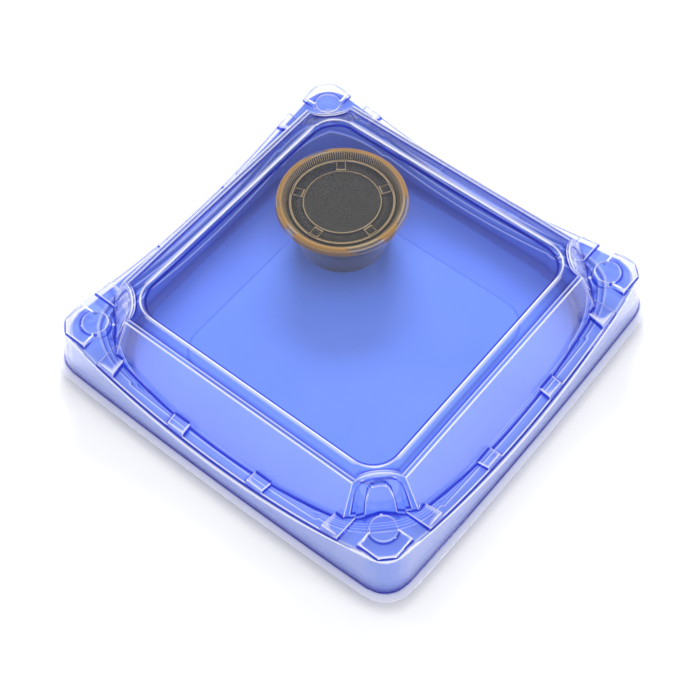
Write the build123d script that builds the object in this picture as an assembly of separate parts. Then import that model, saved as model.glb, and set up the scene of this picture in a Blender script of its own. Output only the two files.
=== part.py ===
from build123d import *
import math
import os

os.makedirs("parts", exist_ok=True)

# Snap lid food container: a blue formed tray, a clear domed lid that snaps over
# its rim, and a round lidded cup of dressing that stands in the tray.
# Millimetres, +Z up, origin on the ground under the middle of the tray.

# ---- sizes of the formed sheet
tray_sheet = 0.6                 # thickness of the blue sheet
lid_sheet = 0.5                  # thickness of the clear sheet
rim_gap = 0.35                   # room between the tray rim and the lid rim, all round
seat_gap = 0.3                   # room under the lid where it would sit on the tray

# ---- rim of the lid
lid_width = 214.0                # across the lid flange at mid side
side_bow = 1.8                   # how far each side bulges past its corners
lid_flange_reach = 3.6           # flange beyond the foot of the skirt
lid_flange_corner = 14.0         # corner radius of the flange in plan
skirt_draft = 0.08               # inward lean of the lid's skirt, mm per mm of height
skirt_corner = 12.0              # corner radius of the skirt in plan
lid_flange_height = 8.0          # ground to the underside of the lid flange
shoulder_mid = 10.8              # shoulder above the flange at mid side
shoulder_corner = 25.6           # shoulder above the flange at the corners
sweep_inset = 22.0               # the upsweep stops this far short of the lid's edge

# ---- bar, lugs and corner pads on the shoulder
bar_inset = 3.0                  # outer edge of the raised bar, in from the foot of the skirt
bar_corner = 10.0                # corner radius of the bar in plan
bar_rise = 1.4                   # bar above the shoulder
lug_far_inset = 40.7             # outer pair of lugs, in from the end of the side
lug_near_share = 0.356           # inner pair, as a share of the outer pair's distance from mid side
lug_near_depth = 4.5             # centres of the inner pair, in from the edge of the bar
lug_far_depth = 5.7              # centres of the outer pair, in from the edge of the bar
lug_size = 9.6                   # side of the square lug
lug_rise = 1.6                   # lug above the bar
lug_draft = 0.9                  # how much each lug side leans in
pad_inset = 6.0                  # outer edge of the corner pad, in from the foot of the skirt
pad_length = 17.0                # the pad along each side
pad_width = 7.4                  # the pad across
pad_chamfer = 5.4                # cut corner of the pad
pad_rise = 0.8                   # pad above the shoulder

# ---- dome
dome_height = 41.0               # top of the dome above the flange underside
dome_inset = 24.6                # top edge of the dome, in from the lid's edge
dome_draft = 0.44                # lean of the dome sides
facet_cut = 8.1                  # how far the dome's corners are cut back, along x and y
facet_draft = 0.25               # lean of the cut corners
panel_inset = 9.6                # stacking recess, in from the dome's top edge
panel_corner = 13.0              # corner radius of the recess
panel_depth = 3.0                # depth of the recess
panel_draft = 0.35               # lean of the recess wall
arch_width = 17.6                # arched panel pressed into each cut corner
arch_height = 15.0               # height of that panel up the facet
arch_depth = 1.2                 # how deep it is pressed in
boss_radius = 6.9                # round button between each cut corner and its pad
boss_reach = 9.2                 # middle of the button out from the foot of the cut corner
boss_height = 1.6                # top of the button above the shoulder
boss_draft = 0.2                 # how fast the button narrows
bead_width = 2.6                 # raised bead along the top edge of the dome
bead_rise = 0.55                 # bead above the flat band inside it

# ---- tray
tray_skirt_draft = 0.15          # inward lean of the blue skirt
tray_corner_drop = 1.6           # tray corners below the lid's, on top of the room under it
tray_flange_reach = 1.5          # blue flange beyond the foot of its skirt
tray_flange_corner = 13.0        # corner radius of the blue flange in plan
mouth_inset = 8.7                # inner edge of the tray rim, in from the foot of the lid's skirt
wall_draft = 0.2                 # lean of the tray wall
mouth_corner = 38.0              # corner radius of the mouth at mid side height
wall_fillet = 5.0                # round between wall and floor

# ---- dressing cup
cup_from_left = 40.4             # middle of the cup, in from the dome's top edge on the left
cup_from_back = 38.9             # and in from the dome's top edge at the back
cup_sheet = 0.5
cup_height = 31.5                # foot to the top of the rolled rim
cup_base_radius = 22.5
cup_mouth_radius = 30.0          # outside of the wall just under the rim
cup_rim_reach = 1.4              # rolled rim beyond the wall
cup_rim_drop = 1.6               # height of the rolled rim
cup_foot_depth = 1.5             # recess under the cup floor

# ---- cup lid
cup_lid_bead = 1.3               # width of the bead that grips the cup rim
cup_lid_gap = 0.3                # room between the cup rim and the lid bead
cup_lid_sheet = 0.4
cup_lid_drop = 3.4               # skirt of the cup lid below its top
plug_depth = 3.2                 # how far the middle of the lid drops into the cup
ring_inset = 3.6                 # ring rib, in from the edge of the plug
ring_width = 0.9
ring_rise = 1.2
channel_width = 5.4              # channel between the ring rib and the raised disc
disc_rise = 0.8
bridge_count = 5                 # short bridges across the channel
bridge_width = 5.0
bridge_rise = 0.6
bridge_turn = 130.6              # direction of the first bridge, degrees from +X
dressing_headspace = 0.3         # air between the dressing and the cup lid

# ---- values that follow
lid_half = lid_width / 2
lid_flange_top = lid_flange_height + lid_sheet
skirt_half = lid_half - lid_flange_reach
sweep_end = lid_half - sweep_inset
bar_half = skirt_half - bar_inset
lug_far = lid_half - lug_far_inset
lug_near = lug_far * lug_near_share
lug_near_line = bar_half - lug_near_depth
lug_far_line = bar_half - lug_far_depth
pad_outer = skirt_half - pad_inset
pad_inner = pad_outer - pad_length
pad_back = pad_outer - pad_width
dome_half = lid_half - dome_inset
facet_half = dome_half - facet_cut
panel_half = dome_half - panel_inset
mouth_half = skirt_half - mouth_inset
cup_x = cup_from_left - dome_half
cup_y = dome_half - cup_from_back
tray_flange_top = lid_flange_height - seat_gap
tray_skirt_half = skirt_half - lid_sheet - rim_gap
tray_flange_half = tray_skirt_half + tray_flange_reach
tray_shoulder_mid = shoulder_mid - lid_sheet - seat_gap
tray_shoulder_corner = shoulder_corner - lid_sheet - seat_gap - tray_corner_drop
low = -20.0                      # cutting forms start this far below the ground
high = lid_flange_height + dome_height + 30.0
wide = lid_width + 60.0


def bowed_square(half, radius, bow=side_bow):
    # a square whose sides bulge by bow, with rounded corners
    corner = half - bow
    side_one = ThreePointArc((-corner, -corner), (0, -half), (corner, -corner))
    side_two = ThreePointArc((corner, -corner), (half, 0), (corner, corner))
    side_three = ThreePointArc((corner, corner), (0, half), (-corner, corner))
    side_four = ThreePointArc((-corner, corner), (-half, 0), (-corner, -corner))
    face = make_face(side_one + side_two + side_three + side_four)
    return fillet(face.vertices(), radius)


def tapered(half, radius, draft, level, bottom, top):
    # block whose outline is the bowed square at height level and leans by draft
    half_low = half + draft * (level - bottom)
    half_high = half - draft * (top - level)
    lower = Pos(0, 0, bottom) * bowed_square(half_low, radius)
    upper = Pos(0, 0, top) * bowed_square(half_high, radius)
    return loft([lower, upper], ruled=True)


def sweep_radius(mid, corner):
    rise = corner - mid
    return (sweep_end ** 2 + rise ** 2) / (2 * rise)


def sweep_height(along, mid, corner):
    # height of the upswept rim line at a distance along the side
    if abs(along) >= sweep_end:
        return corner
    radius = sweep_radius(mid, corner)
    return mid + radius - math.sqrt(radius ** 2 - along ** 2)


def under_sweep(mid, corner):
    # everything below a surface that dips at the middle of all four sides
    edge = wide / 2
    outline = Polyline((-sweep_end, corner), (-edge, corner), (-edge, low), (edge, low),
                       (edge, corner), (sweep_end, corner))
    dip = ThreePointArc((-sweep_end, corner), (0, mid), (sweep_end, corner))
    face = Plane.XZ * make_face(outline + dip)
    block = extrude(face, amount=wide / 2, both=True)
    return block & (Rot(0, 0, 90) * block)


def four_ways(shape):
    return [Rot(0, 0, 90 * turn) * shape for turn in range(4)]


def block_between(bottom, top):
    return Pos(0, 0, (bottom + top) / 2) * Box(wide, wide, top - bottom)


# ---- clear lid
def dome_outline(level, drop):
    # eight sided outline of the dome at a height above the ground
    depth = lid_flange_height + dome_height - level
    side = dome_half + dome_draft * depth - drop
    cut = facet_half + facet_draft * depth - drop * 0.7
    near = 2 * cut - side
    points = [(near, side), (side, near), (side, -near), (near, -side),
              (-near, -side), (-side, -near), (-side, near), (-near, side)]
    return Pos(0, 0, level) * make_face(Polyline(*points, close=True))


def lug(along, line, drop):
    top = lid_flange_height + sweep_height(along, shoulder_mid, shoulder_corner)
    top = top + bar_rise + lug_rise - drop
    size = lug_size - 2 * drop
    bottom = top - lug_rise - bar_rise - 3.0
    lower = Pos(along, -line, bottom) * RectangleRounded(size, size, 1.4)
    mouth = Pos(along, -line, top - lug_rise) * RectangleRounded(size, size, 1.4)
    small = size - 2 * lug_draft
    upper = Pos(along, -line, top) * RectangleRounded(small, small, 1.2)
    return loft([lower, mouth], ruled=True) + loft([mouth, upper], ruled=True)


def corner_pad(drop):
    top = lid_flange_height + shoulder_corner + pad_rise - drop
    inner = pad_inner + drop
    outer = pad_outer - drop
    back = pad_back + drop - 8.0
    cut = pad_chamfer + drop * 0.4
    points = [(inner, -back), (inner, -outer), (outer - cut, -outer),
              (outer, -outer + cut), (outer, -inner), (back, -inner)]
    face = make_face(Polyline(*points, close=True))
    return Pos(0, 0, top - 6.0) * extrude(face, amount=6.0)


def boss(drop):
    # low round button between the cut corner of the dome and the pad
    foot = lid_flange_height + shoulder_corner
    cut = facet_half + facet_draft * (lid_flange_height + dome_height - foot)
    reach = cut * math.sqrt(2) + boss_reach
    radius = boss_radius - drop
    height = boss_height - drop
    lower = Pos(reach, 0, foot - 4.0) * Circle(radius)
    middle = Pos(reach, 0, foot) * Circle(radius)
    upper = Pos(reach, 0, foot + height) * Circle(radius - boss_draft * height)
    return Rot(0, 0, -45) * (loft([lower, middle], ruled=True) + loft([middle, upper], ruled=True))


def arch_recess(drop):
    # arched panel pressed into the cut corner
    top = lid_flange_height + dome_height
    lean = math.degrees(math.atan(facet_draft * math.sqrt(2)))
    width = arch_width + 2 * drop
    depth = arch_depth + drop
    radius = width / 2 - 1.0
    base = -arch_height - 6.0
    rise = -2.4 + drop
    left = Line((-width / 2, rise - radius), (-width / 2, base))
    foot = Line((-width / 2, base), (width / 2, base))
    right = Line((width / 2, base), (width / 2, rise - radius))
    crown = ThreePointArc((width / 2, rise - radius), (0, rise), (-width / 2, rise - radius))
    face = make_face(left + foot + right + crown)
    block = extrude(face, amount=12.0)
    reach = facet_half * math.sqrt(2)
    stand = Plane(origin=(0, 0, 0), x_dir=(0, 1, 0), z_dir=(1, 0, 0))
    placed = Pos(reach - depth, 0, top) * (Rot(0, -lean, 0) * (stand * block))
    return Rot(0, 0, -45) * placed


def lid_form(drop):
    flange = block_between(low, lid_flange_top - drop)
    skirt = tapered(skirt_half - drop, skirt_corner, skirt_draft, lid_flange_top, low, high)
    shoulder = under_sweep(lid_flange_height + shoulder_mid - drop,
                           lid_flange_height + shoulder_corner - drop)
    bar_top = under_sweep(lid_flange_height + shoulder_mid + bar_rise - drop,
                          lid_flange_height + shoulder_corner + 0.2 - drop)
    bar = extrude(Pos(0, 0, low) * bowed_square(bar_half - drop, bar_corner), amount=high - low)
    top = lid_flange_height + dome_height
    dome = loft([dome_outline(low, drop), dome_outline(top - drop, drop)], ruled=True)
    form = flange + (skirt & shoulder) + (bar & bar_top) + dome
    pieces = []
    for along in (-lug_near, lug_near):
        pieces += four_ways(lug(along, lug_near_line, drop))
    for along in (-lug_far, lug_far):
        pieces += four_ways(lug(along, lug_far_line, drop))
    pieces += four_ways(corner_pad(drop))
    form = form + pieces
    for cut in four_ways(arch_recess(drop)):
        form = form - (cut & block_between(lid_flange_height + shoulder_corner + 1.0 - drop, high))
    form = form + four_ways(boss(drop))
    band_floor = top - bead_rise - drop
    band = extrude(Pos(0, 0, band_floor - top) * dome_outline(top, bead_width - drop), amount=10.0)
    recess = tapered(panel_half + drop, panel_corner, -panel_draft, top, top - panel_depth - drop, top + 5.0)
    return form - band - recess


lid_blank = extrude(Pos(0, 0, lid_flange_height) * bowed_square(lid_half, lid_flange_corner),
                    amount=high - lid_flange_height)
lid = (lid_form(0.0) & lid_blank) - lid_form(lid_sheet)


# ---- blue tray
def bowl(drop):
    # inside of the tray, grown by drop
    level = tray_flange_top + tray_shoulder_mid
    floor = tray_sheet - drop
    block = tapered(mouth_half + drop, mouth_corner, -wall_draft, level, floor, high)
    rim_edges = block.faces().sort_by(Axis.Z)[0].edges()
    return fillet(rim_edges, wall_fillet + drop)


def tray_form(drop):
    flange = block_between(low, tray_flange_top - drop)
    skirt = tapered(tray_skirt_half - drop, skirt_corner, tray_skirt_draft, tray_flange_top, low, high)
    shoulder = under_sweep(tray_flange_top + tray_shoulder_mid - drop,
                           tray_flange_top + tray_shoulder_corner - drop)
    return flange + (skirt & shoulder) - bowl(drop)


tray_blank = extrude(Pos(0, 0, low) * bowed_square(tray_flange_half, tray_flange_corner), amount=high - low)
tray = (tray_form(0.0) & tray_blank) - tray_form(tray_sheet)


# ---- dressing cup, its lid and the dressing
def turned(points):
    face = Plane.XZ * make_face(Polyline(*points, close=True))
    return revolve(face, Axis.Z, 360)


cup_wall_lean = (cup_mouth_radius - cup_base_radius) / (cup_height - cup_rim_drop)


def cup_outside(level):
    return cup_base_radius + cup_wall_lean * level


cup_rim_radius = cup_mouth_radius + cup_rim_reach
cup_inside_top = cup_outside(cup_height) - cup_sheet
cup_foot_radius = cup_base_radius - 2.5
cup = turned([
    (0, cup_foot_depth),
    (cup_foot_radius - 1.0, cup_foot_depth),
    (cup_foot_radius, 0),
    (cup_base_radius, 0),
    (cup_outside(cup_height - cup_rim_drop), cup_height - cup_rim_drop),
    (cup_rim_radius, cup_height - cup_rim_drop),
    (cup_rim_radius, cup_height),
    (cup_inside_top, cup_height),
    (cup_outside(1.0) - cup_sheet, 1.0),
    (cup_base_radius - cup_sheet - 0.4, cup_sheet),
    (cup_foot_radius + cup_sheet, cup_sheet),
    (cup_foot_radius - 1.0 + cup_sheet, cup_foot_depth + cup_sheet),
    (0, cup_foot_depth + cup_sheet),
])

cup_lid_under = cup_height + cup_lid_gap * 0.2
cup_lid_top = cup_lid_under + cup_lid_sheet
bead_inside = cup_rim_radius + cup_lid_gap
cup_lid_radius = bead_inside + cup_lid_bead
plug_radius = cup_inside_top - cup_lid_gap - cup_wall_lean * plug_depth
plug_top_radius = plug_radius + 0.4
plate_top = cup_lid_under - plug_depth + cup_lid_sheet
plate_under = cup_lid_under - plug_depth
cup_lid = turned([
    (0, plate_under),
    (plug_radius, plate_under),
    (plug_top_radius, cup_lid_under),
    (bead_inside, cup_lid_under),
    (bead_inside, cup_lid_top - cup_lid_drop),
    (cup_lid_radius, cup_lid_top - cup_lid_drop),
    (bead_inside + cup_lid_sheet + 0.3, cup_lid_top),
    (plug_top_radius - cup_lid_sheet, cup_lid_top),
    (plug_radius - cup_lid_sheet, plate_top),
    (0, plate_top),
])
ring_inner = plug_radius - ring_inset
disc_radius = ring_inner - channel_width
disc = Pos(0, 0, plate_top - 0.1) * extrude(Circle(disc_radius), amount=disc_rise + 0.1)
ring_face = Circle(ring_inner + ring_width) - Circle(ring_inner)
ring = Pos(0, 0, plate_top - 0.1) * extrude(ring_face, amount=ring_rise + 0.1)
cup_lid = cup_lid + disc + ring
bridge_start = disc_radius - 1.0
bridge_end = ring_inner + ring_width / 2
bridge_middle = (bridge_start + bridge_end) / 2
bridge_block = Box(bridge_end - bridge_start, bridge_width, bridge_rise + 0.1)
bridge = Pos(bridge_middle, 0, plate_top + bridge_rise / 2 - 0.05) * bridge_block
for turn in range(bridge_count):
    cup_lid = cup_lid + Rot(0, 0, bridge_turn + 360 / bridge_count * turn) * bridge

fill_top = plate_under - dressing_headspace
fill_low = cup_foot_depth + cup_sheet
dressing = turned([
    (0, fill_low),
    (cup_foot_radius - 1.0 + cup_sheet, fill_low),
    (cup_foot_radius + cup_sheet, cup_sheet),
    (cup_base_radius - cup_sheet - 0.4, cup_sheet),
    (cup_outside(1.0) - cup_sheet, 1.0),
    (cup_outside(fill_top) - cup_sheet, fill_top),
    (0, fill_top),
])

place = Pos(cup_x, cup_y, tray_sheet)
nodes = {
    "tray": tray,
    "lid": lid,
    "dressing_cup": place * cup,
    "dressing_cup_lid": place * cup_lid,
    "dressing": place * dressing,
}
for name, shape in nodes.items():
    export_step(shape, "parts/" + name + ".step")
    print(name, round(shape.volume, 1), len(shape.solids()), shape.is_valid)
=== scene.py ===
import math
import bpy
import numpy as np
from mathutils import Matrix, Vector


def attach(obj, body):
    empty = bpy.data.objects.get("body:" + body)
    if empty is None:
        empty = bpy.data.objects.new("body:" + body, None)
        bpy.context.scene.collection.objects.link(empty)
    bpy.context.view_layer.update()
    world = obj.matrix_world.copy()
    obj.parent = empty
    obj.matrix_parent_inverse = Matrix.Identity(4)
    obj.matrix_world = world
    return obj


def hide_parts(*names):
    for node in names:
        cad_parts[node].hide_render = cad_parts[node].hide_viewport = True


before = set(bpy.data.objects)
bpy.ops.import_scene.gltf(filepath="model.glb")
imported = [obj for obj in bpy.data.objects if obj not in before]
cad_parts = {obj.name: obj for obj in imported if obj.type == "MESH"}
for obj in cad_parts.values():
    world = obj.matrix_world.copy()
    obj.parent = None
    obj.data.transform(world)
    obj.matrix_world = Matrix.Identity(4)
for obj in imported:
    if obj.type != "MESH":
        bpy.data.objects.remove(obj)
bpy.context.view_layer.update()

mm = 0.001


def linearColour(hexText):
    # sRGB hex to linear light, with full alpha
    parts = [int(hexText[i:i + 2], 16) / 255 for i in (1, 3, 5)]
    return tuple(p / 12.92 if p <= 0.04045 else ((p + 0.055) / 1.055) ** 2.4 for p in parts) + (1.0,)


def addNode(tree, kind, settings=None, **links):
    # one shader node: settings name its properties or sockets, links feed its sockets
    node = tree.nodes.new(kind)
    for key, value in (settings or {}).items():
        if isinstance(key, str) and key in node.inputs:
            node.inputs[key].default_value = value
        elif isinstance(key, int):
            node.inputs[key].default_value = value
        else:
            setattr(node, key, value)
    for key, source in links.items():
        name = key.replace("_", " ")
        tree.links.new(source, node.inputs[int(key[1:])] if key[1:].isdigit() else node.inputs[name])
    return node


def newMaterial(name):
    material = bpy.data.materials.new(name)
    material.use_nodes = True
    material.node_tree.nodes.clear()
    return material, material.node_tree


def smooth(x):
    # soft step from 0 to 1
    x = np.clip(x, 0, 1)
    return x * x * (3 - 2 * x)


def sheetObject(name, rows, thickness, closeEnd=False, milkyRings=0, sideBends=(0, 999)):
    # rows is an array (ring, column, xyz) in mm that closes on itself along the columns;
    # neighbouring rings are joined by quads and the first ring is filled, then the sheet is
    # thickened; a solid has both ends filled and its faces turned outwards instead
    ringCount, columnCount = rows.shape[:2]
    points = rows.reshape(-1, 3) * mm
    ring, column = np.meshgrid(np.arange(ringCount - 1), np.arange(columnCount), indexing="ij")
    nextColumn = (column + 1) % columnCount
    quads = np.stack([ring * columnCount + column, (ring + 1) * columnCount + column,
                      (ring + 1) * columnCount + nextColumn, ring * columnCount + nextColumn], axis=-1)
    middle = len(points)
    here = np.arange(columnCount)
    after = (here + 1) % columnCount
    points = np.vstack([points, rows[0].mean(axis=0) * mm])
    caps = [np.stack([np.full(columnCount, middle), here, after], axis=-1)]
    if closeEnd:
        points = np.vstack([points, rows[-1].mean(axis=0) * mm])
        last = (ringCount - 1) * columnCount
        caps.append(np.stack([np.full(columnCount, middle + 1), last + after, last + here], axis=-1))
        quads = quads[..., ::-1]
        caps = [cap[:, ::-1] for cap in caps]
    faces = quads.reshape(-1, 4).tolist() + np.concatenate(caps).tolist()
    mesh = bpy.data.meshes.new(name)
    mesh.from_pydata(points, [], faces)
    mesh.polygons.foreach_set("use_smooth", np.ones(len(mesh.polygons), bool))
    milk = np.zeros(rows.shape[:2])
    milk[len(milk) - milkyRings:] = 1
    glow = mesh.attributes.new("milk", "FLOAT", "POINT")
    capMiddles = np.zeros(len(points) - milk.size)
    glow.data.foreach_set("value", np.append(milk.ravel(), capMiddles))
    crease = mesh.attributes.new("crease", "FLOAT", "POINT")
    crease.data.foreach_set("value", np.append(creases(rows, sideBends).ravel(), capMiddles))
    piece = bpy.data.objects.new(name, mesh)
    bpy.context.scene.collection.objects.link(piece)
    if thickness:
        wall = piece.modifiers.new("wall", "SOLIDIFY")
        wall.thickness = thickness * mm
        wall.offset = -1
        wall.use_even_offset = False
    even = piece.modifiers.new("level shading", "WEIGHTED_NORMAL")
    even.weight = 100
    return piece


def creases(rows, sideBends):
    # how sharply the sheet bends at each point, in radians: positive over an outside corner and
    # negative in an inside one, the stronger of the bend across the rings and, between the two
    # rings of sideBends, along them
    def unit(v):
        return v / np.maximum(np.linalg.norm(v, axis=-1, keepdims=True), 1e-9)

    back = unit(rows - np.concatenate([rows[:1], rows[:-1]]))
    ahead = unit(np.concatenate([rows[1:], rows[-1:]]) - rows)
    back[0], ahead[-1] = ahead[0], back[-1]
    left = unit(rows - np.roll(rows, 1, axis=1))
    right = unit(np.roll(rows, -1, axis=1) - rows)
    normal = unit(np.cross(unit(back + ahead), unit(left + right)))
    across = ((back - ahead) * normal).sum(axis=-1)
    sideways = ((left - right) * normal).sum(axis=-1)
    sideways[:sideBends[0]] = 0
    sideways[sideBends[1]:] = 0
    bend = np.where(np.abs(across) > np.abs(sideways), across, sideways)
    bend[-1] = 0.5                       # the trimmed edge of a sheet gets a painted highlight line, as an outside corner does
    return bend


def roundedRows(corners, radii, steps=4):
    # corners (ring, column, xyz) is the sharp profile of every column; each inner corner
    # becomes a short quadratic curve whose ends lie a radius away along the two straight parts
    rows = [corners[0]]
    for k in range(1, len(corners) - 1):
        here = corners[k]
        back = corners[k - 1] - here
        ahead = corners[k + 1] - here
        backLength = np.linalg.norm(back, axis=-1, keepdims=True)
        aheadLength = np.linalg.norm(ahead, axis=-1, keepdims=True)
        reach = np.minimum(radii[k], 0.45 * np.minimum(backLength, aheadLength))
        start = here + back / np.maximum(backLength, 1e-6) * reach
        end = here + ahead / np.maximum(aheadLength, 1e-6) * reach
        for s in np.linspace(0, 1, steps):
            rows.append((1 - s) ** 2 * start + 2 * s * (1 - s) * here + s * s * end)
    rows.append(corners[-1])
    return np.array(rows)


def wholeLoop(octant):
    # octant (ring, column, along/out/height) runs from mid side to the diagonal; it is mirrored
    # to make one side and turned four times to make the closed loop, each seam point kept once
    mirrored = octant[:, ::-1].copy()
    mirrored[..., 0] *= -1
    side = np.concatenate([mirrored[:, 1:-1], octant], axis=1)
    parts = []
    for turn in range(4):
        angle = turn * math.pi / 2
        x = side[..., 0] * math.cos(angle) + side[..., 1] * math.sin(angle)
        y = side[..., 0] * math.sin(angle) - side[..., 1] * math.cos(angle)
        parts.append(np.stack([x, y, side[..., 2]], axis=-1))
    return np.concatenate(parts, axis=1)


# sizes of the rim shared by tray and lid, in mm
rim = {
    "half": 107.0, "bow": 1.8, "flangeZ": 8.5, "flangeReach": 3.6, "flangeCorner": 14.0,
    "skirtCorner": 12.0, "skirtDraft": 0.08, "shoulderMid": 18.8, "shoulderCorner": 33.6,
    "sweepEnd": 85.0,
}


def sweepHeight(along):
    # rim line: a circular arc that dips at mid side and is level past sweepEnd
    rise = rim["shoulderCorner"] - rim["shoulderMid"]
    radius = (rim["sweepEnd"] ** 2 + rise ** 2) / (2 * rise)
    a = np.clip(np.abs(along), 0, rim["sweepEnd"])
    return rim["shoulderMid"] + radius - np.sqrt(radius ** 2 - a ** 2)


def roundedOut(along, half, radius, bow=0.0):
    # distance out of a bowed side at a distance along it, then round the corner arc
    corner = half - bow
    centre = corner - radius
    straight = half - bow * (along / corner) ** 2
    arc = centre + np.sqrt(np.maximum(radius ** 2 - np.maximum(along - centre, 0) ** 2, 0))
    return np.where(along > centre, np.minimum(arc, straight), straight)


def diagonalOf(half, radius, bow=0.0):
    return half - bow - radius * (1 - math.sqrt(0.5))


# lid sizes, in mm; the stations facetStart to tip are distances from mid side along the bar
lid = {
    "sheet": 0.5, "domeTop": 49.0, "domeHalf": 82.4, "domeDraft": 0.44, "facetHalf": 74.3,
    "facetDraft": 0.25, "scoopDiagonal": 71.7, "beadWidth": 2.6, "beadRise": 0.55,
    "panelHalf": 72.8, "panelCorner": 13.0, "panelDepth": 3.0, "panelDraft": 0.35,
    "barHalf": 100.4, "barRise": 1.4, "lugNear": 23.6, "lugFar": 66.3, "lugSize": 9.6,
    "lugRise": 1.6, "lugSetback": 0.9, "padInner": 80.4, "padOuter": 97.4,
    "padChamfer": 5.4, "padRise": 0.8, "bossFoot": 7.1, "bossTop": 6.2, "bossDiagonal": 120.3,
    "bossHeight": 1.5, "archHalf": 0.436, "archTop": 44.2, "archFoot": 33.0, "archRise": 0.7,
    "frameHalf": 0.82, "frameTop": 46.9, "frameDepth": 0.6, "wallRings": 18, "arcSteps": 3,
    "facetStart": 66.2, "lugEnd": 71.1, "chamferStart": 92.0, "tip": 94.7, "bowSpan": 98.0,
}


def lidStations():
    # nominal distances along the bar where columns stand: closer at the ends of lugs and pads
    near, far, half = lid["lugNear"], lid["lugFar"], lid["lugSize"] / 2
    edges = [near - half, near + half, far - half, far + half, lid["padInner"]]
    beside = np.array([-0.7, -0.35, 0, 0.35, 0.7])
    dense = np.concatenate([edge + beside for edge in edges])
    even = np.arange(12) * 5.5
    frameLeg = 68.76                             # where the outline inside the cut corner runs down
    facet = np.concatenate([edge + beside for edge in (lid["facetStart"], frameLeg)]
                           + [np.linspace(69.8, 80.0, 11), np.linspace(81.4, lid["tip"], 10)])
    corner = [lid["chamferStart"]]
    return np.unique(np.round(np.concatenate([[0.0], even, dense, facet, corner]), 2))


def bump(c, start, end, lean=0.9):
    # 1 between start and end, falling to 0 over lean outside it
    return smooth((c - start + lean / 2) / lean) * smooth((end - c + lean / 2) / lean)


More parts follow.
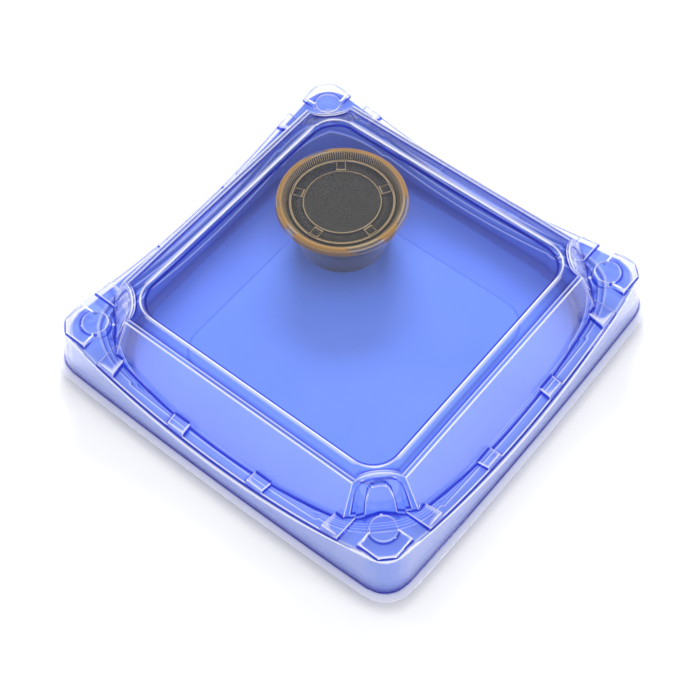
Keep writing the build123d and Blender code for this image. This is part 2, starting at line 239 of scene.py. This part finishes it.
def lidRows():
    # sharp profile of the lid for every column: the rings run from the recess floor to the flange
    c = lidStations()
    near, far, half = lid["lugNear"], lid["lugFar"], lid["lugSize"] / 2
    start, chamfer = lid["facetStart"], lid["chamferStart"]
    keys = [0, start, lid["lugEnd"], lid["padInner"], chamfer, lid["tip"]]
    nearLug, farLug = bump(c, near - half, near + half), bump(c, far - half, far + half)
    bars = bump(c, -50, far + half)
    pad = smooth((c - lid["padInner"] + 0.35) / 0.7)
    lugTop = lid["barRise"] + lid["lugRise"]

    def barAt(along):
        # shoulder with its bars, which run on outside the lugs
        return sweepHeight(along) + lid["barRise"] * bars

    def topAt(along):
        # the same with the level-topped lugs
        z = barAt(along)
        z = z * (1 - nearLug) + (sweepHeight(near) + lugTop) * nearLug
        return z * (1 - farLug) + (sweepHeight(far) + lugTop) * farLug

    def ring(along, out, height):
        return np.stack([along, out, height + 0 * along], axis=-1)

    rings = []
    # stacking recess: a ring on its floor, its floor edge, then its top edge
    bandTop = lid["domeTop"] - lid["beadRise"]
    panelFloor = lid["panelHalf"] - lid["panelDraft"] * lid["panelDepth"]
    for size, corner, height in ((panelFloor - 3, lid["panelCorner"] - 2, lid["domeTop"] - lid["panelDepth"]),
                                 (panelFloor, lid["panelCorner"] + 1, lid["domeTop"] - lid["panelDepth"]),
                                 (lid["panelHalf"], lid["panelCorner"], bandTop)):
        diagonal = diagonalOf(size, corner)
        along = np.interp(c, [0, 60, lid["tip"]], [0, 56.5, diagonal])
        rings.append(ring(along, np.maximum(roundedOut(along, size, corner), along), height))
    # bead along the dome's top edge; at the corners it scoops inwards on a quadratic curve
    share = np.interp(c, keys[1:], [0, 0.344, 0.564, 0.87, 1])    # share of the way round to the diagonal
    for inset, height in ((lid["beadWidth"] + 0.5, bandTop), (lid["beadWidth"] * 0.9, lid["domeTop"]),
                          (lid["beadWidth"] * 0.05, lid["domeTop"])):
        side, tip = lid["domeHalf"] - inset, lid["scoopDiagonal"] - inset * 0.45
        bend = start - inset * 0.3
        bendOut = tip + (tip - bend)
        k = (bendOut - bend) / (side - bend)
        # where the curve has the same share left, so that columns run straight down the cut corner
        scoop = (np.sqrt((1 - k) ** 2 + (2 * k - 1) * share) - (1 - k)) / (2 * k - 1)
        along = (1 - scoop) ** 2 * bend + 2 * scoop * (1 - scoop) * bend + scoop ** 2 * tip
        out = (1 - scoop) ** 2 * side + 2 * scoop * (1 - scoop) * bendOut + scoop ** 2 * tip
        rings.append(ring(np.where(c <= start, c * bend / start, along), out, height))
    # foot of the dome: its leaning wall, or its cut corner, down to the bar, the shoulder or the boss
    level = topAt(c)
    for step in range(3):
        side = lid["domeHalf"] + lid["domeDraft"] * (lid["domeTop"] - level)
        cut = lid["facetHalf"] + lid["facetDraft"] * (lid["domeTop"] - level)
        nearest = 2 * cut - side
        along = np.where(c <= start, c / start * nearest, nearest + share * (cut - nearest))
        level = topAt(along)
    domeFoot = ring(along, np.minimum(side, 2 * cut - along), level)
    rings.append(domeFoot)
    # outer edge of bar and pad
    barOut = lid["barHalf"] - rim["bow"] * (c / lid["bowSpan"]) ** 2
    padDiagonal = lid["padOuter"] - lid["padChamfer"] / 2
    # the bar's edge gives way to the pad's just before the pad starts
    blend = smooth((c - 77.5) / 2.6)
    padAlong = np.interp(c, keys, keys[:5] + [padDiagonal])
    padOut = np.where(c > chamfer, 2 * padDiagonal - padAlong, barOut * (1 - blend) + blend * lid["padOuter"])
    padTop = rim["shoulderCorner"] + lid["padRise"]
    edgeTop = barAt(padAlong) * (1 - pad) + padTop * pad
    # round button between the cut corner and the pad: near half, then far half, of its foot and top
    # edge; away from the corner these rings only divide the width of the bar
    middle = lid["bossDiagonal"] / math.sqrt(2)
    toBoss = smooth((c - 77.0) / 3.2)
    buttonTop = rim["shoulderCorner"] + lid["bossHeight"]
    footRadius, topRadius = lid["bossFoot"], lid["bossTop"]
    sideBearing = 131                    # degrees, where the button's rings leave the side
    for across, finish, radius, onTop in ((0.2, 225, footRadius, 0), (0.4, 225, topRadius, 1),
                                          (0.6, 45, topRadius, 1), (0.8, 45, footRadius, 0)):
        bearing = sideBearing + (finish > 90) * 3
        turn = np.radians(np.interp(c, [lid["padInner"], lid["tip"]], [bearing, finish]))
        bossAlong, bossOut = middle + radius * np.cos(turn), middle + radius * np.sin(turn)
        nearAlong = domeFoot[:, 0] * (1 - across) + padAlong * across
        nearOut = domeFoot[:, 1] * (1 - across) + (padOut - lid["lugSetback"]) * across
        if across == 0.8:
            nearAlong, nearOut = padAlong, padOut - lid["lugSetback"]
        along = nearAlong * (1 - toBoss) + bossAlong * toBoss
        out = nearOut * (1 - toBoss) + bossOut * toBoss
        here = padTop if finish < 90 else sweepHeight(along)
        inside = smooth((c - lid["padInner"] - 0.1) / 0.8)
        height = topAt(along) * (1 - inside) + (buttonTop if onTop else here) * inside
        rings.append(ring(along, out, height))
    rings.append(ring(padAlong, padOut, edgeTop))
    # foot of that edge on the shoulder
    grow = 0.35
    footAlong = np.interp(c, keys, keys[:4] + [chamfer + 0.1, padDiagonal + 0.7 * grow])
    footOut = np.where(c > chamfer, 2 * (padDiagonal + 0.7 * grow) - footAlong,
                       barOut * (1 - blend) + blend * lid["padOuter"] + grow)
    footOut = np.where(c > chamfer, np.minimum(footOut, lid["padOuter"] + grow), footOut)
    rings.append(ring(footAlong, footOut, sweepHeight(footAlong)))
    # top edge of the skirt, its foot and the edge of the flange
    skirtHalf = rim["half"] - rim["flangeReach"]
    turnIn, skirtCorner = lid["lugEnd"], rim["skirtCorner"]
    for ringName, corner in (("top", skirtCorner), ("foot", skirtCorner), ("edge", rim["flangeCorner"])):
        along = c
        for step in range(3):
            size = skirtHalf + 0 * c
            if ringName == "top":
                size = size - rim["skirtDraft"] * (sweepHeight(along) - rim["flangeZ"])
            if ringName == "edge":
                size = rim["half"] + 0 * c
            diagonal = diagonalOf(size, corner, rim["bow"])
            share = np.interp(c, keys[2:], [0, 0.42, 0.84, 1])
            along = np.where(c <= turnIn, c, turnIn + share * (diagonal - turnIn))
        out = np.maximum(roundedOut(along, size, corner, rim["bow"]), along)
        rings.append(ring(along, out, sweepHeight(along) - 0.03 if ringName == "top" else rim["flangeZ"]))
    return c, np.array(rings)


def refine(rows, index, shares):
    # adds rings between ring index and the next, at these shares of the way
    share = np.array(shares)[:, None, None]
    between = rows[index] * (1 - share) + rows[index + 1] * share
    return np.concatenate([rows[:index + 1], between, rows[index + 1:]])


def lidSheet():
    c, corners = lidRows()
    # size of the round at each ring, from the recess floor out to the flange
    radii = [0, 0.5, 0.6, 0.35, 0.45, 0.45, 0.5, 0.4, 0.3, 0.3, 0.4, 0.4, 0.4, 0.9, 0.45, 0]
    rows = roundedRows(corners, radii, lid["arcSteps"])
    # more rings on the faces between two rounds, so that each round keeps a crisp line
    wall = 0.04 + 0.92 * np.linspace(0, 1, lid["wallRings"])
    beadOuter = 5                        # ring above the dome's wall
    beside = {14: (0.2, 0.8), 13: (0.05, 0.95), 12: (0.5,), 10: (0.2, 0.8), 8: (0.08, 0.92), 6: (0.5,),
              beadOuter: wall, 4: (0.5,), 2: (0.5,), 1: (0.2, 0.8), 0: (0.8,)}
    for corner, shares in beside.items():
        rows = refine(rows, lid["arcSteps"] * corner, shares)
    above = sum(len(shares) for corner, shares in beside.items() if corner < beadOuter)
    wallStart = lid["arcSteps"] * beadOuter + 1 + above
    # the cut corner carries two nested outlines with round tops, open at the foot: the panel is
    # pressed in inside the first and stands out again inside the second; each is a power curve of
    # the distance across, as a share of the half width, and of the height
    a, out, z = rows[..., 0], rows[..., 1], rows[..., 2]
    across = np.abs(out - a) / math.sqrt(2)
    edge = lid["domeHalf"] - lid["facetHalf"] + (lid["domeDraft"] - lid["facetDraft"]) * (lid["domeTop"] - z)
    across = across / (math.sqrt(2) * edge)

    def archMask(half, top, power):
        rise = np.maximum(z - lid["archFoot"], 0) / (top - lid["archFoot"])
        return smooth((1 - ((across / half) ** power + rise ** power) ** (1 / power)) / 0.07 + 0.5)

    framed = archMask(lid["frameHalf"], lid["frameTop"], 5)
    arch = archMask(lid["archHalf"], lid["archTop"], 3)
    onWall = np.zeros(len(rows))
    onWall[wallStart:wallStart + len(wall)] = 1
    onFacet = (c > lid["facetStart"] - 0.2)[None]
    push = (lid["archRise"] * arch - lid["frameDepth"] * framed) * onFacet * onWall[:, None]
    sideways = 0.66                      # share of the push that goes along each of the two sides
    rows[..., 0] += push * sideways
    rows[..., 1] += push * sideways
    # first ring of the skirt, before the rings of its two rounds, the four beside them and the edge
    skirtTop = len(rows) - 2 * lid["arcSteps"] - 5
    return rows, (wallStart - 1, skirtTop)


lidOctant, shoulderRings = lidSheet()
lidPiece = sheetObject("clear_lid", wholeLoop(lidOctant), lid["sheet"], milkyRings=4, sideBends=shoulderRings)
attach(lidPiece, "lid")
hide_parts("lid")
print("lid", lidOctant.shape, wholeLoop(lidOctant).shape, len(lidPiece.data.polygons))

# tray sizes, in mm
tray = {
    "sheet": 0.6, "drop": 1.1, "cornerDrop": 1.6, "skirtDraft": 0.15, "skirtHalf": 102.55,
    "flangeZ": 7.7, "flangeReach": 1.5, "flangeCorner": 13.0,
    "mouthHalf": 94.7, "mouthCorner": 38.0, "mouthLevel": 17.7, "wallDraft": 0.2, "wallFillet": 5.0,
    "ledgeReach": 1.3, "ledgeDrops": (2.6, 5.2, 7.8), "padHalf": 62.0, "padCorner": 16.0, "padRise": 1.2,
}


def trayHeight(along):
    # the tray's rim follows the lid's a little lower, and lower still towards the corners
    share = np.clip(np.abs(along), 0, rim["sweepEnd"]) / rim["sweepEnd"]
    return sweepHeight(along) - tray["drop"] - tray["cornerDrop"] * share ** 2


def trayRows():
    # sharp profile of the tray for every column: floor panel, wall with fine ledges, shoulder, skirt, flange
    last = tray["mouthHalf"]
    c = np.unique(np.round(np.concatenate([np.arange(12) * 4.5, np.linspace(54, last, 28)]), 2))

    def ring(along, out, height):
        return np.stack([along, out, height + 0 * along], axis=-1)

    def spread(start, diagonal):
        # columns keep their own distance up to start, then share out the way to the diagonal
        return np.where(c <= start, c, start + (c - start) / (last - start) * (diagonal - start))

    def mouthRing(height, inset):
        size = tray["mouthHalf"] + tray["wallDraft"] * (height - tray["mouthLevel"]) - inset
        along = spread(50, diagonalOf(size, tray["mouthCorner"], rim["bow"]))
        return along, np.maximum(roundedOut(along, size, tray["mouthCorner"], rim["bow"]), along)

    rings = []
    floorZ = tray["sheet"]
    corner = tray["padCorner"]
    for half, height in ((tray["padHalf"] - 1.2, floorZ + tray["padRise"]), (tray["padHalf"], floorZ)):
        along = np.interp(c, [0, 50, last], [0, half - 20, diagonalOf(half, corner)])
        rings.append(ring(along, np.maximum(roundedOut(along, half, corner), along), height))
    along, out = mouthRing(floorZ + 0 * c, 0)
    rings.append(ring(along, out, floorZ))
    # the height of the rim and the distance along it depend on each other, so both are found twice
    along, out = mouthRing(trayHeight(c), 0)
    rimZ = trayHeight(along)
    along, out = mouthRing(rimZ, 0)
    for step, drop in reversed(list(enumerate(tray["ledgeDrops"]))):
        for inset, lift in ((tray["ledgeReach"] * (step + 1), 0), (tray["ledgeReach"] * step, 0.05)):
            ledgeAlong, ledgeOut = mouthRing(rimZ - drop, inset)
            rings.append(ring(ledgeAlong, ledgeOut, rimZ - drop + lift))
    rings.append(ring(along, out, rimZ))
    skirtCorner = rim["skirtCorner"]
    for name, corner in (("top", skirtCorner), ("foot", skirtCorner), ("edge", tray["flangeCorner"])):
        along = c
        for step in range(3):
            size = tray["skirtHalf"] + 0 * c
            if name == "top":
                size = size - tray["skirtDraft"] * (trayHeight(along) - tray["flangeZ"])
            if name == "edge":
                size = size + tray["flangeReach"]
            along = spread(60, diagonalOf(size, corner, rim["bow"]))
        out = np.maximum(roundedOut(along, size, corner, rim["bow"]), along)
        rings.append(ring(along, out, trayHeight(along) if name == "top" else tray["flangeZ"]))
    return np.array(rings)


# rounds: floor panel, foot of the wall, ledges, rim, shoulder and skirt
trayRadii = [0, 0.8, tray["wallFillet"]] + [0.4] * 6 + [1.2, 1.4, 0.8, 0]
trayOctant = roundedRows(trayRows(), trayRadii, 5)
for beforeLast, shares in ((1, (0.15, 0.85)), (6, (0.05, 0.95)), (11, (0.1, 0.9))):
    trayOctant = refine(trayOctant, len(trayOctant) - beforeLast - 1, shares)
trayPiece = sheetObject("blue_tray", wholeLoop(trayOctant), tray["sheet"], sideBends=(0, 0))
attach(trayPiece, "tray")
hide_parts("tray")
print("tray", trayOctant.shape, len(trayPiece.data.polygons))


# dressing cup, its lid and the dressing: sizes in mm, with x, y and z for the middle of the cup's foot
cup = {
    "x": -42.0, "y": 43.5, "z": 0.6, "sheet": 0.5, "height": 31.5, "baseRadius": 22.5, "mouthRadius": 30.0,
    "rimReach": 1.4, "rimDrop": 1.6, "footDepth": 1.5, "lidRadius": 33.0, "lidUnder": 31.56, "lidSheet": 0.4,
    "plugDepth": 3.2, "ringInner": 25.2, "ringRise": 1.2, "discRadius": 19.8, "discRise": 0.8,
    "ribs": 160, "ribDepth": 0.55, "bridgeTurn": 130.6, "bridges": 5, "bridgeWidth": 5.0,
    "bridgeRise": 0.6, "headspace": 0.3,
}


def turnedRows(profile, columns):
    # profile (radius, height) pairs carried round a circle; rows are rings
    angle = np.arange(columns) / columns * 2 * math.pi
    radius, height = np.array(profile, float).T
    x = radius[:, None] * np.sin(angle)[None]
    y = -radius[:, None] * np.cos(angle)[None]
    z = np.repeat(height[:, None], columns, axis=1)
    return np.stack([x, y, z], axis=-1)


def roundedProfile(profile, radii, steps=4):
    points = np.array(profile, float)[:, None, :]
    return roundedRows(points, radii, steps)[:, 0, :]


def placed(rows):
    return rows + np.array([cup["x"], cup["y"], cup["z"]])


rimFoot = cup["height"] - cup["rimDrop"]
cupLean = (cup["mouthRadius"] - cup["baseRadius"]) / rimFoot
mouthOut = cup["mouthRadius"]
rimOut = mouthOut + cup["rimReach"]
cupProfile = [
    (0.5, cup["footDepth"]), (19.0, cup["footDepth"]), (20.0, 0.0), (cup["baseRadius"], 0.0),
    (mouthOut, rimFoot), (rimOut, rimFoot), (rimOut, cup["height"]), (mouthOut - 0.1, cup["height"]),
    (mouthOut - 0.55, rimFoot), (22.25, 1.0), (21.6, 0.5), (20.5, 0.5), (19.5, 2.0), (0.5, 2.0),
]
cupRadii = [0, 0.5, 0.4, 0.8, 0.3, 0.5, 0.6, 0.3, 0.5, 0.8, 0.3, 0.3, 0.5, 0]
cupColumns = 144
cupRows = placed(turnedRows(roundedProfile(cupProfile, cupRadii), cupColumns))
cupPiece = sheetObject("dressing_cup", cupRows, 0, closeEnd=True)
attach(cupPiece, "dressing_cup")
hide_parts("dressing_cup")

fillTop = cup["lidUnder"] - cup["plugDepth"] - cup["headspace"]
fillRadius = cup["baseRadius"] + cupLean * fillTop - cup["sheet"] - 0.06
fillProfile = [(0.5, 2.06), (19.5, 2.06), (20.6, 0.58), (21.5, 0.58), (22.15, 1.06),
               (fillRadius, fillTop - 0.4), (fillRadius, fillTop),
               (fillRadius - 1.2, fillTop - 0.25), (0.5, fillTop - 0.25)]
fillRadii = [0, 0.4, 0.3, 0.3, 0.5, 0.2, 0.2, 0.8, 0]
fillRows = placed(turnedRows(roundedProfile(fillProfile, fillRadii), cupColumns))
fillPiece = sheetObject("dressing", fillRows, 0, closeEnd=True)
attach(fillPiece, "dressing_cup")
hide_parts("dressing")


def cupLidRows():
    # lid of the cup: raised disc, channel with bridges, ring rib, ribbed plug wall and gripping bead
    plate = cup["lidUnder"] - cup["plugDepth"] + cup["lidSheet"]
    top = cup["lidUnder"] + cup["lidSheet"]
    disc, inner, edge = cup["discRadius"], cup["ringInner"], cup["lidRadius"]
    discTop, ringTop = plate + cup["discRise"], plate + cup["ringRise"]
    profile = [(2.5, discTop), (disc - 0.5, discTop), (disc, plate), (disc + 0.9, plate),
               (inner - 0.5, plate), (inner, ringTop), (inner + 0.9, ringTop), (inner + 1.3, plate),
               (edge - 5.7, plate), (edge - 4.1, top - 0.5), (edge - 3.5, top), (edge - 1.7, top),
               (edge - 0.5, top - 0.5), (edge - 0.2, top - 2.4), (edge, top - 3.4)]
    radii = [0, 0.3, 0.3, 0.1, 0.3, 0.3, 0.3, 0.3, 0.4, 0.4, 0.3, 0.5, 0.8, 0.3, 0]
    rows = turnedRows(roundedProfile(profile, radii, 3), cup["ribs"] * 4)
    rows = refine(rows, 0, (0.4, 0.96))
    radius = np.hypot(rows[..., 0], rows[..., 1])
    angle = np.arctan2(rows[..., 1], rows[..., 0])
    # bridges: at each of their directions the channel floor is lifted
    pitch = 2 * math.pi / cup["bridges"]
    offset = np.mod(angle - math.radians(cup["bridgeTurn"]) + pitch / 2, pitch) - pitch / 2
    inChannel = smooth((radius - disc + 0.1) / 0.3) * smooth((inner + 0.2 - radius) / 0.3)
    bridge = smooth((cup["bridgeWidth"] / 2 - np.abs(offset) * radius) / 0.5 + 0.5)
    rows[..., 2] += cup["bridgeRise"] * bridge * inChannel
    # ribs: a wave round the wall and the inner shoulder of the bead
    ribZone = smooth((radius - edge + 5.8) / 0.5) * smooth((edge - 3.0 - radius) / 0.5)
    wave = 0.5 + 0.5 * np.cos(np.arange(rows.shape[1]) * math.pi / 2)
    drop = cup["ribDepth"] * wave[None] * ribZone
    rows[..., 2] -= drop
    rows[..., :2] *= (1 + drop * 0.5 / np.maximum(radius, 1))[..., None]
    return rows


cupLidPiece = sheetObject("dressing_cup_lid", placed(cupLidRows()), cup["lidSheet"])
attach(cupLidPiece, "dressing_cup_lid")
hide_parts("dressing_cup_lid")
print("cup, dressing and cup lid", len(cupLidPiece.data.polygons))


def clearSheet(name, tint, haze, edgeHaze, gloss, line, shade, highlightColour="#f2f4ff"):
    # thin clear plastic: light goes straight through and the surface mirrors by the Fresnel law;
    # a white line is painted along each outside corner as a painted highlight, and a darker tint inside each
    # inside corner as painted shade
    material, tree = newMaterial(name)
    bend = addNode(tree, "ShaderNodeAttribute", {"attribute_name": "crease"})
    # painted shade: the see-through tint turns to the shade colour in inside bends
    dark = addNode(tree, "ShaderNodeMapRange", {"From Min": -0.06, "From Max": -0.35},
                   Value=bend.outputs["Fac"])
    colour = addNode(tree, "ShaderNodeMix", {"data_type": "RGBA"}, _0=dark.outputs[0])
    colour.inputs[6].default_value = linearColour(tint)
    colour.inputs[7].default_value = linearColour(shade)
    through = addNode(tree, "ShaderNodeBsdfTransparent", {}, Color=colour.outputs[2])
    mirror = addNode(tree, "ShaderNodeBsdfGlossy", {"Color": linearColour("#ffffff"), "Roughness": gloss})
    # share mirrored: 5% face on, all of it edge-on, by the fifth power of one minus the cosine
    facing = addNode(tree, "ShaderNodeLayerWeight", {"Blend": 0.5})
    fifth = addNode(tree, "ShaderNodeMath", {"operation": "POWER", 1: 5.0}, _0=facing.outputs["Facing"])
    share = addNode(tree, "ShaderNodeMapRange", {"To Min": 0.05, "To Max": 1.0}, Value=fifth.outputs[0])
    glass = addNode(tree, "ShaderNodeMixShader", {},
                    _0=share.outputs[0], _1=through.outputs[0], _2=mirror.outputs[0])
    body = addNode(tree, "ShaderNodeBsdfPrincipled",
                   {"Base Color": linearColour(highlightColour), "Roughness": 0.25, "IOR": 1.57})
    fourth = addNode(tree, "ShaderNodeMath", {"operation": "POWER", 1: 4.0}, _0=facing.outputs["Facing"])
    edge = addNode(tree, "ShaderNodeMapRange", {"To Min": haze, "To Max": edgeHaze}, Value=fourth.outputs[0])
    # painted highlight: a white body is mixed in along outside bends
    white = addNode(tree, "ShaderNodeMapRange", {"From Min": 0.12, "From Max": 0.5, "To Max": line},
                    Value=bend.outputs["Fac"])
    cloudy = addNode(tree, "ShaderNodeAttribute", {"attribute_name": "milk"})
    flange = addNode(tree, "ShaderNodeMath", {"operation": "MULTIPLY", 1: 0.42}, _0=cloudy.outputs["Fac"])
    highlightAndFlangeHaze = addNode(tree, "ShaderNodeMath", {"operation": "MAXIMUM"},
                    _0=white.outputs[0], _1=flange.outputs[0])
    amount = addNode(tree, "ShaderNodeMath", {"operation": "MAXIMUM"},
                     _0=edge.outputs[0], _1=highlightAndFlangeHaze.outputs[0])
    mixed = addNode(tree, "ShaderNodeMixShader", {},
                    _0=amount.outputs[0], _1=glass.outputs[0], _2=body.outputs[0])
    addNode(tree, "ShaderNodeOutputMaterial", {}, Surface=mixed.outputs[0])
    return material


def tintedSheet(name):
    # tinted PET: glossy skin over a colour that glows a little where light comes through the sheet, with a
    # painted highlight (a paler blue) along outside bends and painted shade (a deeper blue) in inside bends
    material, tree = newMaterial(name)
    place = addNode(tree, "ShaderNodeTexCoord")
    grain = addNode(tree, "ShaderNodeTexNoise", {"Scale": 28.0, "Detail": 3.0},
                    Vector=place.outputs["Object"])
    colour = addNode(tree, "ShaderNodeMix", {"data_type": "RGBA"}, _0=grain.outputs[0])
    colour.inputs[6].default_value = linearColour("#678df0")
    colour.inputs[7].default_value = linearColour("#7498f5")
    # painted highlight: the colour turns pale along outside bends
    bend = addNode(tree, "ShaderNodeAttribute", {"attribute_name": "crease"})
    bright = addNode(tree, "ShaderNodeMapRange", {"From Min": 0.1, "From Max": 0.4, "To Max": 1.0},
                     Value=bend.outputs["Fac"])
    withPaintedHighlight = addNode(tree, "ShaderNodeMix", {"data_type": "RGBA"},
                      _0=bright.outputs[0], _6=colour.outputs[2])
    withPaintedHighlight.inputs[7].default_value = linearColour("#ccd7ff")
    # painted shade: the colour turns deep blue in inside bends
    dark = addNode(tree, "ShaderNodeMapRange", {"From Min": -0.06, "From Max": -0.35, "To Max": 0.8},
                   Value=bend.outputs["Fac"])
    withPaintedShade = addNode(tree, "ShaderNodeMix", {"data_type": "RGBA"}, _0=dark.outputs[0], _6=withPaintedHighlight.outputs[2])
    withPaintedShade.inputs[7].default_value = linearColour("#3350c4")
    body = addNode(tree, "ShaderNodeBsdfPrincipled", {"Roughness": 0.2, "IOR": 1.57},
                   Base_Color=withPaintedShade.outputs[2])
    glow = addNode(tree, "ShaderNodeBsdfTranslucent", {"Color": linearColour("#86a6ff")})
    mixed = addNode(tree, "ShaderNodeMixShader", {0: 0.1}, _1=body.outputs[0], _2=glow.outputs[0])
    addNode(tree, "ShaderNodeOutputMaterial", {}, Surface=mixed.outputs[0])
    return material


def darkLiquid(name):
    # soy dressing: almost black in depth, mirror smooth on top
    material, tree = newMaterial(name)
    body = addNode(tree, "ShaderNodeBsdfPrincipled",
                   {"Base Color": linearColour("#1c1f1c"), "Roughness": 0.06, "IOR": 1.35})
    addNode(tree, "ShaderNodeOutputMaterial", {}, Surface=body.outputs[0])
    return material


def dress(piece, material):
    piece.data.materials.clear()
    piece.data.materials.append(material)


def amberRim(name):
    # clear pressed lid with dressing held in its rim: amber patches between the plug and the bead
    # its clear sheet gets painted shade in dark brown in the inside bends of the ribs, and a painted
    # highlight line along the outside bends, tinted amber like the dressing behind it
    material = clearSheet(name, "#f7f4ef", 0.0, 0.3, 0.08, 0.55, "#55452c", "#e0c48e")
    tree = material.node_tree
    last = next(n for n in tree.nodes if n.type == "OUTPUT_MATERIAL")
    plain = last.inputs["Surface"].links[0].from_socket
    coordinates = addNode(tree, "ShaderNodeTexCoord")
    centred = addNode(tree, "ShaderNodeMapping", {"Location": (-cup["x"] * mm, -cup["y"] * mm, 0)},
                      Vector=coordinates.outputs["Object"])
    flat = addNode(tree, "ShaderNodeVectorMath", {"operation": "MULTIPLY", 1: (1, 1, 0)},
                   _0=centred.outputs[0])
    radius = addNode(tree, "ShaderNodeVectorMath", {"operation": "LENGTH"}, _0=flat.outputs[0])
    bandStart = (cup["lidRadius"] - 3.7) * mm
    outer = addNode(tree, "ShaderNodeMapRange", {"From Min": bandStart, "From Max": bandStart + 0.6 * mm},
                    Value=radius.outputs["Value"])
    patches = addNode(tree, "ShaderNodeTexNoise", {"Scale": 38.0, "Detail": 1.0}, Vector=centred.outputs[0])
    film = addNode(tree, "ShaderNodeMapRange", {"From Min": 0.4, "From Max": 0.43}, Value=patches.outputs[0])
    share = addNode(tree, "ShaderNodeMath", {"operation": "MULTIPLY"},
                    _0=outer.outputs[0], _1=film.outputs[0])
    depth = addNode(tree, "ShaderNodeMath", {"operation": "MULTIPLY", 1: 0.7}, _0=share.outputs[0])
    amber = addNode(tree, "ShaderNodeBsdfPrincipled",
                    {"Base Color": linearColour("#a87a30"), "Roughness": 0.15, "IOR": 1.45})
    mixed = addNode(tree, "ShaderNodeMixShader", {}, _0=depth.outputs[0], _1=plain, _2=amber.outputs[0])
    tree.links.new(mixed.outputs[0], last.inputs["Surface"])
    return material


# the lid's clear sheet gets painted shade, tinted blue, in its inside bends and a white painted highlight
# line along its outside bends
dress(lidPiece, clearSheet("clear PET, thermoformed", "#fcfcff", 0.0, 0.4, 0.05, 0.75, "#7f90e6"))
dress(trayPiece, tintedSheet("blue tinted PET, thermoformed"))
# the cup's clear sheet gets painted shade, tinted tan, in its inside bends and a white painted highlight line
# along its outside bends
dress(cupPiece, clearSheet("clear polystyrene, formed", "#f7f4ef", 0.0, 0.4, 0.08, 0.5, "#b9a58c"))
dress(cupLidPiece, amberRim("clear polystyrene, pressed"))
dress(fillPiece, darkLiquid("soy dressing, poured"))
print("materials")


bpy.ops.mesh.primitive_plane_add(size=6, location=(0, 0, 0))
floorPiece = bpy.context.object
floorPiece.name = "studio_floor"
floorMaterial, tree = newMaterial("white card, matt")
card = addNode(tree, "ShaderNodeBsdfPrincipled", {"Base Color": linearColour("#fafafa"), "Roughness": 0.7})
addNode(tree, "ShaderNodeOutputMaterial", {}, Surface=card.outputs[0])
dress(floorPiece, floorMaterial)

world = bpy.data.worlds.new("studio")
bpy.context.scene.world = world
world.use_nodes = True
world.node_tree.nodes["Background"].inputs[0].default_value = (1, 1, 1, 1)
world.node_tree.nodes["Background"].inputs[1].default_value = 0.5


def softbox(name, position, target, size, power, mirrored):
    # rectangular light in metres and watts; one that is not mirrored leaves no white patch on the plastic
    light = bpy.data.lights.new(name, "AREA")
    light.shape = "RECTANGLE"
    light.size, light.size_y = size
    light.energy = power
    lamp = bpy.data.objects.new(name, light)
    lamp.location = position
    aim = Vector(target) - Vector(position)
    lamp.rotation_euler = aim.to_track_quat("-Z", "Y").to_euler()
    lamp.visible_glossy = mirrored
    bpy.context.scene.collection.objects.link(lamp)


softbox("overhead softbox", (-0.05, 0.06, 1.25), (0, 0, 0), (0.8, 0.8), 6.0, False)
softbox("back softbox", (-0.7, 0.9, 0.75), (0, 0, 0.02), (0.6, 0.3), 19.0, False)
softbox("front fill", (0.55, -0.65, 0.85), (0, 0, 0.02), (0.7, 0.7), 3.0, False)
softbox("left strip", (-0.95, -0.35, 0.45), (0, 0, 0.03), (0.05, 0.8), 1.2, True)
softbox("right strip", (0.85, 0.25, 0.55), (0, 0, 0.03), (0.05, 0.6), 1.2, True)

# camera: position and target in mm, roll in degrees, focal length in the units of the frame's width
view = {
    "position": (264.8, -312.9, 628.5), "target": (6.2, -10.8, 8.0), "roll": -1.96,
    "focal": 1544.0, "frame": 700.0,
}


def placeCamera():
    # looks from position to target and is rolled about that line
    position, target = Vector(view["position"]) * mm, Vector(view["target"]) * mm
    forward = (target - position).normalized()
    right = forward.cross(Vector((0, 0, 1))).normalized()
    up = right.cross(forward)
    roll = math.radians(view["roll"])
    turnedRight = right * math.cos(roll) + up * math.sin(roll)
    turnedUp = up * math.cos(roll) - right * math.sin(roll)
    data = bpy.data.cameras.new("camera")
    data.sensor_width = 36
    data.lens = view["focal"] / view["frame"] * 36
    camera = bpy.data.objects.new("camera", data)
    matrix = Matrix((turnedRight, turnedUp, -forward)).transposed().to_4x4()
    matrix.translation = position
    camera.matrix_world = matrix
    bpy.context.scene.collection.objects.link(camera)
    bpy.context.scene.camera = camera


placeCamera()
bpy.context.scene.view_settings.view_transform = "Standard"
print("light and camera")

bpy.context.view_layer.update()
